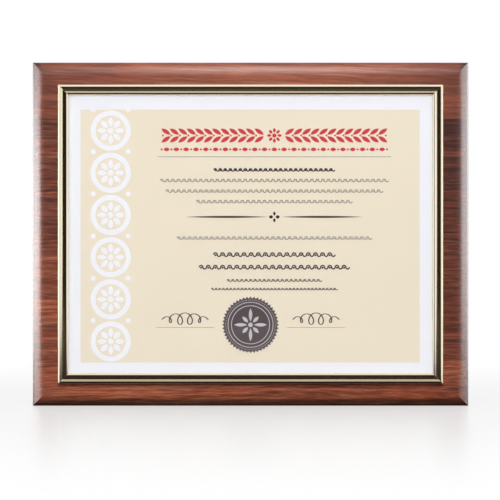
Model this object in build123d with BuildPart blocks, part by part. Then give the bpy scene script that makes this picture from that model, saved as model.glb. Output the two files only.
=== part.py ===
"""Certificate plaque: a solid walnut board that carries a slide-in metal certificate frame.

X runs along the width, +Y from the front to the wall and +Z up. The origin is the centre of
the board's lower edge, midway through the depth. All lengths are in millimetres.
"""

import math
import os

from build123d import *

# The certificate, a letter sheet that lies on its long side, and its wafer seal
sheet_width = 279.4
sheet_height = 215.9
sheet_thickness = 0.25
seal_radius = 21.5
seal_tooth_depth = 1.3
seal_thickness = 0.1
seal_teeth = 48
seal_above_sheet_edge = 39.1

# The other layers of the insert
card_thickness = 0.6
cover_thickness = 1.5
cover_corner_radius = 1.0
cover_side_clearance = 0.3
cover_setback = 0.3
card_play = 0.05
lip_play = 0.1

# Pocket between the rails. The sheet's upper edge reaches into the slot under the top rail
sheet_side_clearance = 0.3
sheet_reach_into_slot = 0.7

# Moulding section, measured inward from its outer wall and forward from the board
rail_face_width = 8.2
lip_reach = 2.7
lip_edge_height = 0.64
lip_round_radius = 2.0
lip_round_lean = 17
crest_radius = 0.3
cove_radius = 6.0
cove_lip_lean = 19
cove_outer_lean = 25
outer_round_lean = 20
rail_wall = 1.0
return_thickness = 0.8
return_width = 1.0
chamber_height = 2.4

# Corner keys
key_leg_length = 22.0
key_side_clearance = 0.1
key_face_clearance = 0.05
key_end_chamfer = 0.6

# Frame screws, driven from the back
screw_radius = 1.25
screw_length = 10.0
screw_tip_clearance = 0.1
screw_tip_chamfer = 0.3
screw_head_radius = 2.5
screw_head_height = 1.9
screw_head_chamfer = 0.8
recess_width = 0.7
recess_span = 2.8
recess_depth = 1.1
thread_clearance = 0.03
screw_hole_clearance = 0.2
counterbore_clearance = 0.5

# Walnut board, of edge-glued staves
board_side_margin = 19.5
board_end_margin = 16.9
board_thickness = 19.0
edge_run = 10.0
edge_drop = 6.0
edge_side_radius = 4.0
back_ease = 0.8
glue_line_shares = (0.133, 0.311, 0.503, 0.834)

# Keyhole slots in the back, for a screw with a head of up to 8.5 mm
keyhole_radius = 4.75
keyhole_neck_width = 4.8
keyhole_lip = 3.5
keyhole_depth = 8.5
keyhole_travel = 14.0
keyhole_top_inset = 20.0
keyhole_side_inset = 20.0

# Every cutter that has to pass a face runs this far beyond it
overrun = 1.0

# Sizes that follow from the ones above
slot_height = (
    card_play + card_thickness + sheet_thickness + seal_thickness + cover_thickness + lip_play
)
pocket_width = sheet_width + 2 * sheet_side_clearance
pocket_height = sheet_height - sheet_reach_into_slot
pocket_inset = rail_face_width - lip_reach
frame_width = pocket_width + 2 * pocket_inset
frame_height = pocket_height + 2 * pocket_inset
board_width = frame_width + 2 * board_side_margin
board_height = frame_height + 2 * board_end_margin

# The moulding has two rims with a cove between them. Each rim is a large round off its side and a
# small crest, tangent where the surface leans out of the front by the rim's own angle in degrees.
# The cove leaves the outer crest more steeply than it meets the lip's, so its bed lies nearer the lip
lip_round_centre = Vector(rail_face_width - lip_round_radius, slot_height + lip_edge_height)
lip_crest_offset = Vector(0, lip_round_radius - crest_radius).rotate(Axis.Z, -lip_round_lean)
lip_crest_centre = lip_round_centre + lip_crest_offset
cove_reach = Vector(0, cove_radius + crest_radius)
cove_centre = lip_crest_centre + cove_reach.rotate(Axis.Z, cove_lip_lean)
outer_crest_centre = cove_centre - cove_reach.rotate(Axis.Z, -cove_outer_lean)
outer_lean_sine = math.sin(math.radians(outer_round_lean))
outer_round_radius = (outer_crest_centre.X - crest_radius * outer_lean_sine) / (1 - outer_lean_sine)
outer_crest_offset = Vector(0, outer_round_radius - crest_radius).rotate(Axis.Z, outer_round_lean)
outer_round_centre = outer_crest_centre - outer_crest_offset
rail_height = outer_crest_centre.Y + crest_radius

chamber_width = pocket_inset - 2 * rail_wall
chamber_top = return_thickness + chamber_height
key_inset = rail_wall + key_side_clearance
key_width = chamber_width - 2 * key_side_clearance
key_thickness = chamber_height - 2 * key_face_clearance
screw_inset = rail_wall + chamber_width / 2
screw_hole_radius = screw_radius + screw_hole_clearance
counterbore_depth = board_thickness + chamber_top - screw_tip_clearance - screw_length
keyhole_width = 2 * keyhole_radius

# The front edge is two arcs, a small one off the side and a large one into the face. They are
# tangent where the outline has turned by edge_turn degrees from the face
edge_face_radius = (edge_run**2 + edge_drop**2 - 2 * edge_run * edge_side_radius) / (
    2 * (edge_drop - edge_side_radius)
)
edge_turn = math.degrees(math.atan2(edge_run - edge_side_radius, edge_face_radius - edge_drop))

# Places that follow from them
board_back_y = (board_thickness + rail_height) / 2
board_face_y = board_back_y - board_thickness
frame_bottom_z = board_end_margin
frame_top_z = frame_bottom_z + frame_height
pocket_bottom_z = frame_bottom_z + pocket_inset

front = Vector(0, -1, 0)
frame_centre = Vector(0, board_face_y, (frame_bottom_z + frame_top_z) / 2)
board_face = Plane.XZ.offset(-board_face_y)
board_back = Plane.XZ.offset(-board_back_y)
screw_places = [
    (side * (frame_width / 2 - screw_inset), frame_centre.Z + end * (frame_height / 2 - screw_inset))
    for side in (-1, 1)
    for end in (-1, 1)
]

parts = {}


def keep_part(part, name):
    """Label a finished piece and keep it for export."""
    part.label = name
    parts[name] = part


def board_section(length):
    """Section through the board: eased back corners and rounded front edges."""
    half = length / 2
    shoulder_y = board_face_y + edge_drop
    side_centre = (half - edge_side_radius, shoulder_y)
    face_centre = (half - edge_run, board_face_y + edge_face_radius)
    with BuildSketch() as section:
        with BuildLine():
            Polyline(
                (0, board_back_y),
                (half - back_ease, board_back_y),
                (half, board_back_y - back_ease),
                (half, shoulder_y),
            )
            CenterArc(side_centre, edge_side_radius, 0, edge_turn - 90)
            CenterArc(face_centre, edge_face_radius, edge_turn - 90, -edge_turn)
            Line((half - edge_run, board_face_y), (0, board_face_y))
            mirror(about=Plane.YZ)
        make_face()
    return section.sketch


# The whole board. Its front edges share one rounding, so they meet in a crease at each corner
with BuildPart() as board:
    with BuildSketch(Plane.XY):
        add(board_section(board_width))
    extrude(amount=board_height)
    with BuildSketch(Plane(origin=(0, 0, board_height / 2), x_dir=(0, 0, 1), z_dir=(-1, 0, 0))):
        add(board_section(board_height))
    extrude(amount=board_width / 2, both=True, mode=Mode.INTERSECT)

    # Counterbored holes for the frame screws
    with BuildSketch(board_back):
        with Locations(*screw_places):
            Circle(screw_hole_radius)
    extrude(amount=board_thickness, mode=Mode.SUBTRACT)
    with BuildSketch(board_back):
        with Locations(*screw_places):
            Circle(screw_head_radius + counterbore_clearance)
    extrude(amount=counterbore_depth, mode=Mode.SUBTRACT)

    # Keyholes for hanging upright and sideways: an entry, a neck and an undercut slot each
    upright_seat = Vector(0, board_height - keyhole_top_inset)
    sideways_seat = Vector(board_width / 2 - keyhole_side_inset, board_height / 2)
    for seat, travel in (
        (upright_seat, Vector(0, keyhole_travel)),
        (sideways_seat, Vector(keyhole_travel, 0)),
    ):
        with BuildSketch(board_back):
            with Locations(seat - travel):
                Circle(keyhole_radius)
        extrude(amount=keyhole_depth, mode=Mode.SUBTRACT)
        with BuildSketch(board_back):
            SlotCenterPoint(seat - travel / 2, seat, keyhole_neck_width)
        extrude(amount=keyhole_depth, mode=Mode.SUBTRACT)
        with BuildSketch(board_back.offset(keyhole_lip)):
            SlotCenterPoint(seat - travel / 2, seat, keyhole_width)
        extrude(amount=keyhole_depth - keyhole_lip, mode=Mode.SUBTRACT)

# Staves, cut from the board along its glue lines and numbered from the lowest
glue_lines = [0, *(share * board_height for share in glue_line_shares), board_height]
for number, (low, high) in enumerate(zip(glue_lines, glue_lines[1:]), start=1):
    with BuildPart() as stave:
        add(board.part)
        if low > 0:
            split(bisect_by=Plane.XY.offset(low), keep=Keep.TOP)
        if high < board_height:
            split(bisect_by=Plane.XY.offset(high), keep=Keep.BOTTOM)
    keep_part(stave.part, f"stave_{number}")

# Moulding section: a cove between two rounded rims, over a chamber that is open to the board
with BuildSketch() as rail_section:
    with BuildLine():
        Line((0, 0), (0, outer_round_centre.Y))
        CenterArc(outer_round_centre, outer_round_radius, 180, outer_round_lean - 90)
        outer_crest = CenterArc(
            outer_crest_centre,
            crest_radius,
            90 + outer_round_lean,
            -outer_round_lean - cove_outer_lean,
        )
        lip_crest = CenterArc(
            lip_crest_centre, crest_radius, 90 + cove_lip_lean, -cove_lip_lean - lip_round_lean
        )
        TangentArc(outer_crest @ 1, lip_crest @ 0, tangent=outer_crest % 1)
        CenterArc(lip_round_centre, lip_round_radius, 90 - lip_round_lean, lip_round_lean - 90)
        Polyline(
            (rail_face_width, lip_round_centre.Y),
            (rail_face_width, slot_height),
            (pocket_inset, slot_height),
            (pocket_inset, 0),
            (0, 0),
        )
    make_face()
    with Locations((rail_wall, return_thickness)):
        Rectangle(chamber_width, chamber_height, align=Align.MIN, mode=Mode.SUBTRACT)
    with Locations((rail_wall + return_width, 0)):
        Rectangle(
            chamber_width - 2 * return_width,
            return_thickness,
            align=Align.MIN,
            mode=Mode.SUBTRACT,
        )


def mitred_rail(inward, half_across, half_run):
    """One length of the moulding, mitred at both ends, with its lip pointing inward."""
    outer_wall = frame_centre - inward * half_across
    along = inward.cross(front)
    with BuildPart() as rail:
        with BuildSketch(Plane(origin=outer_wall, x_dir=inward, z_dir=along)):
            add(rail_section.sketch)
        extrude(amount=half_run, both=True)
        for end in (along, -along):
            mitre = Plane(origin=outer_wall + end * half_run, z_dir=inward + end)
            split(bisect_by=mitre, keep=Keep.BOTTOM)
        with BuildSketch(board_face):
            with Locations(*screw_places):
                Circle(screw_hole_radius)
        extrude(amount=return_thickness, mode=Mode.SUBTRACT)
    return rail.part


keep_part(mitred_rail(Vector(0, 0, 1), frame_height / 2, frame_width / 2), "rail_bottom")
keep_part(mitred_rail(Vector(1, 0, 0), frame_width / 2, frame_height / 2), "rail_left")
keep_part(mitred_rail(Vector(-1, 0, 0), frame_width / 2, frame_height / 2), "rail_right")

# The top rail bridges the slot through which the insert slides
with BuildPart() as rail_top:
    add(mitred_rail(Vector(0, 0, -1), frame_height / 2, frame_width / 2))
    with BuildSketch(board_face):
        with Locations((0, frame_top_z + overrun)):
            Rectangle(
                pocket_width,
                rail_face_width + 2 * overrun,
                align=(Align.CENTER, Align.MAX),
            )
    extrude(amount=slot_height, mode=Mode.SUBTRACT)
keep_part(rail_top.part, "rail_top")

# Corner keys in the chambers, tapped for the frame screws
key_plane = board_face.offset(return_thickness + key_face_clearance)
corner_x = -frame_width / 2 + key_inset
bottom_corner_z = frame_bottom_z + key_inset
top_corner_z = frame_top_z - key_inset
key_run = key_leg_length - key_inset

with BuildPart() as key_bottom_left:
    with BuildSketch(key_plane) as key_outline:
        with Locations((corner_x, bottom_corner_z)):
            Rectangle(key_run, key_width, align=Align.MIN)
            Rectangle(key_width, key_run, align=Align.MIN)
        chamfer(key_outline.vertices().group_by(Axis.X)[-1], key_end_chamfer)
        chamfer(key_outline.vertices().group_by(Axis.Y)[-1], key_end_chamfer)
        with Locations(screw_places[0]):
            Circle(screw_radius + thread_clearance, mode=Mode.SUBTRACT)
    extrude(amount=key_thickness)

# A key at the top has no leg along the slot
with BuildPart() as key_top_left:
    with BuildSketch(key_plane) as key_outline:
        with Locations((corner_x, top_corner_z)):
            Rectangle(key_width, key_run, align=(Align.MIN, Align.MAX))
        chamfer(key_outline.vertices().group_by(Axis.Y)[0], key_end_chamfer)
        with Locations(screw_places[1]):
            Circle(screw_radius + thread_clearance, mode=Mode.SUBTRACT)
    extrude(amount=key_thickness)

with BuildPart() as key_bottom_right:
    mirror(key_bottom_left.part, about=Plane.YZ)

with BuildPart() as key_top_right:
    mirror(key_top_left.part, about=Plane.YZ)

keep_part(key_bottom_left.part, "corner_key_bottom_left")
keep_part(key_bottom_right.part, "corner_key_bottom_right")
keep_part(key_top_left.part, "corner_key_top_left")
keep_part(key_top_right.part, "corner_key_top_right")

# Four pan-head screws that pull the keys, and so the rails, onto the board
screw_seat = board_back.offset(counterbore_depth)
with BuildPart() as frame_screws:
    with BuildSketch(screw_seat):
        with Locations(*screw_places):
            Circle(screw_radius)
    extrude(amount=screw_length)
    chamfer(frame_screws.edges().group_by(Axis.Y)[0], screw_tip_chamfer)
    with BuildSketch(screw_seat):
        with Locations(*screw_places):
            Circle(screw_head_radius)
    extrude(amount=-screw_head_height)
    chamfer(frame_screws.edges().group_by(Axis.Y)[-1], screw_head_chamfer)
    with BuildSketch(screw_seat.offset(-screw_head_height)):
        with Locations(*screw_places):
            Rectangle(recess_span, recess_width)
            Rectangle(recess_width, recess_span)
    extrude(amount=recess_depth, mode=Mode.SUBTRACT)
keep_part(frame_screws.part, "frame_screws")

# The insert's layers, from the board outward
card_plane = board_face.offset(card_play)
sheet_plane = card_plane.offset(card_thickness)
seal_plane = sheet_plane.offset(sheet_thickness)
cover_plane = seal_plane.offset(seal_thickness)
cover_width = pocket_width - 2 * cover_side_clearance
cover_height = frame_top_z - cover_setback - pocket_bottom_z

with BuildPart() as backing_card:
    with BuildSketch(card_plane):
        with Locations((0, pocket_bottom_z)):
            Rectangle(cover_width, cover_height, align=(Align.CENTER, Align.MIN))
    extrude(amount=card_thickness)
keep_part(backing_card.part, "backing_card")

with BuildPart() as certificate:
    with BuildSketch(sheet_plane):
        with Locations((0, pocket_bottom_z)):
            Rectangle(sheet_width, sheet_height, align=(Align.CENTER, Align.MIN))
    extrude(amount=sheet_thickness)
keep_part(certificate.part, "certificate")

# Wafer seal with a toothed edge
seal_centre = Vector(0, pocket_bottom_z + seal_above_sheet_edge)
seal_outline = []
for step in range(2 * seal_teeth):
    radius = seal_radius - seal_tooth_depth * (step % 2)
    seal_outline.append(seal_centre + Vector(0, radius).rotate(Axis.Z, 180 * step / seal_teeth))

with BuildPart() as certificate_seal:
    with BuildSketch(seal_plane):
        with BuildLine():
            Polyline(*seal_outline, close=True)
        make_face()
    extrude(amount=seal_thickness)
keep_part(certificate_seal.part, "certificate_seal")

with BuildPart() as cover_sheet:
    with BuildSketch(cover_plane) as cover_outline:
        with Locations((0, pocket_bottom_z)):
            Rectangle(cover_width, cover_height, align=(Align.CENTER, Align.MIN))
        fillet(cover_outline.vertices(), cover_corner_radius)
    extrude(amount=cover_thickness)
keep_part(cover_sheet.part, "cover_sheet")

os.makedirs("parts", exist_ok=True)
for name, part in parts.items():
    export_step(part, f"parts/{name}.step")
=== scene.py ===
"""Looks of a certificate plaque: a lacquered walnut board, a gold moulding and a slide-in insert.

Lengths are in millimetres until a mesh is made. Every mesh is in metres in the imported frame, with
+X to the viewer's right, +Y from the front to the wall and +Z up. The studio's own lengths are in
metres throughout.
"""

import logging
import math
from collections.abc import Callable
from dataclasses import dataclass
from enum import Enum

import bmesh
import bpy
from mathutils import Matrix, Vector


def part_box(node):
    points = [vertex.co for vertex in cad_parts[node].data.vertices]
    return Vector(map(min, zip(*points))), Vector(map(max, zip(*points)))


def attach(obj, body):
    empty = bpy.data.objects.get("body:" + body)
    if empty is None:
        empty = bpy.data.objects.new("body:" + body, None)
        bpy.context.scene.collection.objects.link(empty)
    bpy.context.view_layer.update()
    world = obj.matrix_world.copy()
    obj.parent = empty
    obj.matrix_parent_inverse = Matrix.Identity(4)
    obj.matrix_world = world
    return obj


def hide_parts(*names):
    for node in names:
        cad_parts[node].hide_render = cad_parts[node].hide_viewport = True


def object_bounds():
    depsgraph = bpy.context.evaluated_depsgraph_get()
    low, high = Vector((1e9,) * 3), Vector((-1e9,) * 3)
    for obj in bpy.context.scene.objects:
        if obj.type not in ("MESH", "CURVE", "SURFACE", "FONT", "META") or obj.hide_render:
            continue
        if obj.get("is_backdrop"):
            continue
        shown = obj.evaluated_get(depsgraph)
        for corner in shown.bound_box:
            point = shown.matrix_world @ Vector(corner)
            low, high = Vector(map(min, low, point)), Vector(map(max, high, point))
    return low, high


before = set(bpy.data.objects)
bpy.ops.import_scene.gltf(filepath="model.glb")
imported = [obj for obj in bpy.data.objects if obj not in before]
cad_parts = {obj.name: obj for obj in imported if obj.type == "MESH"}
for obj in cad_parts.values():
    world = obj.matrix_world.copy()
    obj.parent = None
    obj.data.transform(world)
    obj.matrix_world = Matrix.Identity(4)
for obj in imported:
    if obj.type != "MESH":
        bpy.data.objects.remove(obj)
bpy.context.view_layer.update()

METRE = 1000.0
WHITE = (1.0, 1.0, 1.0)
PRINT_WHITE = (0.90, 0.90, 0.95)
SMOOTH_ANGLE = math.radians(30)
OVERRUN = 1.0  # how far a cutter passes the surface that it starts from
SINK = 0.005  # how far print and relief reach into what they lie on

Colour = tuple[float, float, float]
Point = tuple[float, float]
Outline = list[Point]
Material = bpy.types.Material
Mesh = bpy.types.Mesh
Object = bpy.types.Object

log = logging.getLogger("plaque")


class Body(Enum):
    """The two bodies that pieces ride on."""

    PLAQUE = "plaque"
    INSERT = "insert"


class Slot(Enum):
    """The record's material slots."""

    WALNUT = "walnut"
    GOLD = "gold_anodised"
    KEY = "key_steel"
    SCREW = "screw_steel"
    CARD = "backing_board"
    PAPER = "certificate_paper"
    FOIL = "seal_foil"
    CLEAR = "clear_acrylic"


# Shader and geometry trees


def operator(operation: str, swapped: bool = False) -> "Callable[[Signal, Value], Signal]":
    """A Signal's method that adds a Math node, with the operands swapped for one on the right.

    Args:
        operation: The Math node's operation.
        swapped: Whether the method's own signal is the second operand.

    Returns:
        The method.
    """

    def method(self: "Signal", other: "Value") -> "Signal":
        """Add the node."""
        return self.tree.math(operation, *((other, self) if swapped else (self, other)))

    return method


class Signal:
    """One output socket of a node tree. Python's operators on it add Math nodes."""

    def __init__(self, tree: "NodeTree", socket: bpy.types.NodeSocket) -> None:
        """Keep the socket and the tree that it belongs to."""
        self.tree = tree
        self.socket = socket

    def is_wide(self) -> bool:
        """Whether the socket carries a vector or a colour."""
        return self.socket.type in {"VECTOR", "RGBA"}

    def output(self, name: str) -> "Signal":
        """Another output of the same node."""
        return Signal(self.tree, self.socket.node.outputs[name])

    __add__ = operator("ADD")
    __radd__ = operator("ADD", swapped=True)
    __sub__ = operator("SUBTRACT")
    __rsub__ = operator("SUBTRACT", swapped=True)
    __mul__ = operator("MULTIPLY")
    __rmul__ = operator("MULTIPLY", swapped=True)
    __truediv__ = operator("DIVIDE")
    __pow__ = operator("POWER")

    def rising(self, low: float, high: float) -> "Signal":
        """A smooth step from 0 at low to 1 at high."""
        sockets = {"Value": self, "From_Min": low, "From_Max": high}
        return self.tree.node("ShaderNodeMapRange", interpolation_type="SMOOTHSTEP", **sockets)


Value = Signal | float | tuple[float, ...]


class NodeTree:
    """A node tree that is built one node at a time."""

    def __init__(self, nodes: bpy.types.NodeTree) -> None:
        """Empty the tree."""
        self.tree = nodes
        self.tree.nodes.clear()

    def node(self, kind: str, *values: object, output: str | int = 0, **named: object) -> Signal:
        """Add a node.

        Args:
            kind: The node's type.
            values: Links or constants for its first inputs.
            output: The output to return, by identifier, name or number.
            named: In lower case, properties to set, of which "stops" are a ramp's places and
                colours. Otherwise links or constants for inputs, by identifier or by name, with
                underscores for the spaces.

        Returns:
            One output of the node.
        """
        made = self.tree.nodes.new(kind)
        for name in filter(str.islower, named):
            if name == "stops":
                self._set_stops(made.color_ramp, named[name])
            else:
                setattr(made, name, named[name])
        inputs = {name: value for name, value in named.items() if not name.islower()}
        for key, value in (*enumerate(values), *inputs.items()):
            self._feed(self._find(made.inputs, key), value)
        return Signal(self, self._find(made.outputs or made.inputs, output))

    def math(self, operation: str, *values: Value) -> Signal:
        """Add a Math node, or a Vector Math node if any value is a vector or a colour.

        Args:
            operation: The node's operation.
            values: Its operands.

        Returns:
            Its result.
        """
        wide = any(isinstance(v, tuple) or (isinstance(v, Signal) and v.is_wide()) for v in values)
        kind = "ShaderNodeVectorMath" if wide else "ShaderNodeMath"
        return self.node(kind, *values, operation=operation)

    def split(self, vector: Signal) -> tuple[Signal, Signal, Signal]:
        """The three components of a vector."""
        x = self.node("ShaderNodeSeparateXYZ", vector)
        return x, x.output("Y"), x.output("Z")

    def join(self, x: Value = 0.0, y: Value = 0.0, z: Value = 0.0) -> Signal:
        """A vector of three components."""
        return self.node("ShaderNodeCombineXYZ", x, y, z)

    def mix(self, factor: Signal, first: Signal, second: Signal) -> Signal:
        """A mix of two shaders."""
        return self.node("ShaderNodeMixShader", factor, first, second)

    def _set_stops(self, ramp: bpy.types.ColorRamp, stops: list[tuple[float, Colour]]) -> None:
        """Give a ramp its stops.

        Args:
            ramp: The ramp.
            stops: Each stop's place and colour.
        """
        while len(ramp.elements) < len(stops):
            ramp.elements.new(0.5)
        for element, (place, colour) in zip(ramp.elements, stops):
            element.position = place
            element.color = (*colour, 1.0)

    def _find(self, sockets: bpy.types.bpy_prop_collection, key: str | int) -> bpy.types.NodeSocket:
        """A socket by number, identifier or name.

        Args:
            sockets: A node's inputs or outputs.
            key: The number, identifier or name.

        Returns:
            The socket.
        """
        if isinstance(key, str):
            for socket in sockets:
                if socket.identifier == key:
                    return socket
            key = key.replace("_", " ")
        return sockets[key]

    def _feed(self, socket: bpy.types.NodeSocket, value: object) -> None:
        """Link a socket, or set its constant.

        Args:
            socket: The input.
            value: One link or several, or a constant.
        """
        if isinstance(value, (list, Signal)):
            for signal in value if isinstance(value, list) else [value]:
                self.tree.links.new(signal.socket, socket)
            return
        if socket.type == "VECTOR" and isinstance(value, (int, float)):
            value = (value,) * 3
        if socket.type == "RGBA" and len(value) == 3:
            value = (*value, 1.0)
        socket.default_value = value


class ShaderTree(NodeTree):
    """The tree of one material."""

    def __init__(self, name: str) -> None:
        """Start a material.

        Args:
            name: The material's name.
        """
        self.material = bpy.data.materials.new(name)
        self.material.use_nodes = True
        super().__init__(self.material.node_tree)

    def place(self, move: tuple[float, ...] = (0.0, 0.0, 0.0)) -> Signal:
        """Object coordinates in millimetres, moved."""
        return self.node("ShaderNodeTexCoord", output="Object") * METRE + move

    def noise(self, place: Signal, detail: float = 2.0, roughness: float = 0.5) -> Signal:
        """Noise of one unit's grain, from 0 to 1."""
        values = {"Vector": place, "Scale": 1.0, "Detail": detail, "Roughness": roughness}
        return self.node("ShaderNodeTexNoise", **values)

    def blend(self, factor: Value, first: Value, second: Value) -> Signal:
        """A mix of two colours."""
        values = {"Factor_Float": factor, "A_Color": first, "B_Color": second}
        return self.node("ShaderNodeMix", output="Result_Color", data_type="RGBA", **values)

    def ramp(self, factor: Signal, stops: list[tuple[float, Colour]]) -> Signal:
        """A colour along a ramp."""
        return self.node("ShaderNodeValToRGB", factor, stops=stops)

    def bump(self, height: Signal, depth: float, strength: float = 1.0) -> Signal:
        """A normal bent by a height from 0 to 1, whose full depth is in millimetres."""
        return self.node("ShaderNodeBump", Height=height, Distance=depth / METRE, Strength=strength)

    def inside(self, along: Signal, low: float, high: float, soft: float = 0.1) -> Signal:
        """1 where a coordinate lies between two limits, with soft edges."""
        return along.rising(low - soft, low + soft) * (1.0 - along.rising(high - soft, high + soft))

    def finish(self, shader: Signal) -> Material:
        """Make a shader the material's surface."""
        self.node("ShaderNodeOutputMaterial", shader)
        return self.material

    def principled(self, **values: object) -> Material:
        """Finish with a Principled shader."""
        return self.finish(self.node("ShaderNodeBsdfPrincipled", **values))

    def glow(self, colour: Colour) -> Signal:
        """An even glow."""
        return self.node("ShaderNodeEmission", colour)


class GeometryTree(NodeTree):
    """A Geometry Nodes tree with named inputs, which repeats a motif."""

    KINDS = {int: "NodeSocketInt", float: "NodeSocketFloat"}

    def __init__(self, name: str, **sizes: float) -> None:
        """Start a tree.

        Args:
            name: The tree's name.
            sizes: The named inputs with their values.
        """
        super().__init__(bpy.data.node_groups.new(name, "GeometryNodeTree"))
        self.sizes = sizes
        panel = self.tree.interface
        panel.new_socket("Geometry", in_out="OUTPUT", socket_type="NodeSocketGeometry")
        panel.new_socket("Motif", in_out="INPUT", socket_type="NodeSocketGeometry")
        panel.new_socket("Finish", in_out="INPUT", socket_type="NodeSocketMaterial")
        for title, value in sizes.items():
            panel.new_socket(title, in_out="INPUT", socket_type=self.KINDS[type(value)])
        self.given = self.node("NodeGroupInput")

    def size(self, title: str) -> Signal:
        """A named input."""
        return self.given.output(title)

    def repeat(self, points: Signal) -> None:
        """Put the motif on each point, and end the tree.

        Args:
            points: The points.
        """
        placed = self.node("GeometryNodeInstanceOnPoints", Points=points, Instance=self.given)
        real = self.node("GeometryNodeRealizeInstances", placed)
        dressed = self.node("GeometryNodeSetMaterial", Geometry=real, Material=self.size("Finish"))
        self.node("NodeGroupOutput", dressed)

    def run(self, motif: Mesh, finish: Material) -> Mesh:
        """Repeat a motif.

        Args:
            motif: The mesh to repeat, which is used up.
            finish: The material of the result.

        Returns:
            A plain mesh.
        """
        carrier = add_object(f"{self.tree.name}_carrier", motif)
        modifier = carrier.modifiers.new("repeat", "NODES")
        modifier.node_group = self.tree
        sockets = (item for item in self.tree.interface.items_tree if item.in_out == "INPUT")
        found = {socket.name: socket.identifier for socket in sockets}
        modifier[found["Finish"]] = finish
        for title, value in self.sizes.items():
            modifier[found[title]] = value
        return plain_mesh(carrier)


# Mesh work


def add_object(name: str, data: bpy.types.ID) -> Object:
    """A new object in the scene.

    Args:
        name: The object's name.
        data: What it shows, such as a mesh or a lamp.

    Returns:
        The object.
    """
    made = bpy.data.objects.new(name, data)
    bpy.context.scene.collection.objects.link(made)
    return made


def settled(work: bmesh.types.BMesh) -> Mesh:
    """The mesh of some finished work.

    Args:
        work: The work, which is used up.

    Returns:
        Its mesh.
    """
    mesh = bpy.data.meshes.new("settled")
    work.to_mesh(mesh)
    work.free()
    return mesh


def plain_mesh(carrier: Object) -> Mesh:
    """The mesh of an object with its modifiers applied.

    Args:
        carrier: The object, which is removed.

    Returns:
        The mesh.
    """
    bpy.context.view_layer.update()
    evaluated = carrier.evaluated_get(bpy.context.evaluated_depsgraph_get())
    mesh = bpy.data.meshes.new_from_object(evaluated)
    bpy.data.objects.remove(carrier)
    return mesh


def carve(body: Mesh, *cutters: Mesh) -> Mesh:
    """Cut closed meshes out of a closed mesh.

    Args:
        body: The mesh to cut.
        cutters: The meshes to take away.

    Returns:
        What is left of the body.
    """
    carrier = add_object("carved", body)
    tools = [add_object("cutter", mesh) for mesh in cutters]
    for tool in tools:
        modifier = carrier.modifiers.new("cut", "BOOLEAN")
        modifier.operation = "DIFFERENCE"
        modifier.solver = "EXACT"
        modifier.object = tool
    mesh = plain_mesh(carrier)
    for tool in tools:
        bpy.data.objects.remove(tool)
    return mesh


def joined(*meshes: Mesh) -> Mesh:
    """One mesh that holds all the given ones.

    Args:
        meshes: The meshes, which stay as they are.

    Returns:
        A mesh with all their faces.
    """
    work = bmesh.new()
    for mesh in meshes:
        work.from_mesh(mesh)
    return settled(work)


def prism(faces: list[Outline], front: float, back: float) -> Mesh:
    """A flat shape, seen from the front, made a solid between two depths.

    Args:
        faces: Outlines in X and Z that may share edges. Shared edges get no wall.
        front: The y of the front, in millimetres.
        back: The y of the back.

    Returns:
        A closed mesh in metres with its faces outward.
    """
    work = bmesh.new()
    for outline in faces:
        work.faces.new([work.verts.new((x / METRE, back / METRE, z / METRE)) for x, z in outline])
    bmesh.ops.remove_doubles(work, verts=work.verts, dist=1e-6)
    grown = bmesh.ops.extrude_face_region(work, geom=work.faces[:], use_keep_orig=True)
    raised = [item for item in grown["geom"] if isinstance(item, bmesh.types.BMVert)]
    bmesh.ops.translate(work, verts=raised, vec=(0, (front - back) / METRE, 0))
    bmesh.ops.recalc_face_normals(work, faces=work.faces)
    return settled(work)


def arc(centre: Point, radius: float, start: float, sweep: float, steps: int) -> Outline:
    """Points along an arc, ends included, with its angles in degrees."""
    angles = (math.radians(start + sweep * step / steps) for step in range(steps + 1))
    return [(centre[0] + radius * math.cos(a), centre[1] + radius * math.sin(a)) for a in angles]


def disc(radius: float, steps: int, centre: Point = (0.0, 0.0)) -> list[Outline]:
    """A round face."""
    return [arc(centre, radius, 0, 360, steps)[:-1]]


def rectangle(left: float, right: float, low: float, high: float) -> Outline:
    """An upright rectangle."""
    return [(left, low), (right, low), (right, high), (left, high)]


def polar(centre: Point, radius: float, turn: float) -> Point:
    """The point at a radius and at an angle in degrees from +X towards +Z."""
    return arc(centre, radius, turn, 0, 1)[0]


def band(outer: Outline, inner: Outline) -> list[Outline]:
    """Faces between two open lines that have as many points."""
    return [list(side) for side in zip(outer, outer[1:], inner[1:], inner)]


def ring(centre: Point, middle: float, width: float, steps: int) -> list[Outline]:
    """A flat ring, by the radius of its middle line."""
    outer, inner = (arc(centre, middle + side * width / 2, 0, 360, steps) for side in (1, -1))
    return band(outer, inner)


def leaf(length: float, width: float, turn: float, root: Point, steps: int = 10) -> list[Outline]:
    """A leaf with two pointed ends that starts at its root.

    Args:
        length: From the root to the tip.
        width: Across its middle.
        turn: The way it points, in degrees from +X towards +Z.
        root: Where it starts.
        steps: Points along each side.

    Returns:
        One face.
    """
    turned = Matrix.Rotation(math.radians(turn), 2)
    outline = []
    for step in range(2 * steps):
        angle = math.pi * step / steps
        along = length * (1 - math.cos(angle)) / 2
        across = -width * math.sin(angle) * abs(math.sin(angle)) / 2
        x, z = turned @ Vector((along, across))
        outline.append((root[0] + x, root[1] + z))
    return [outline]


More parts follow.
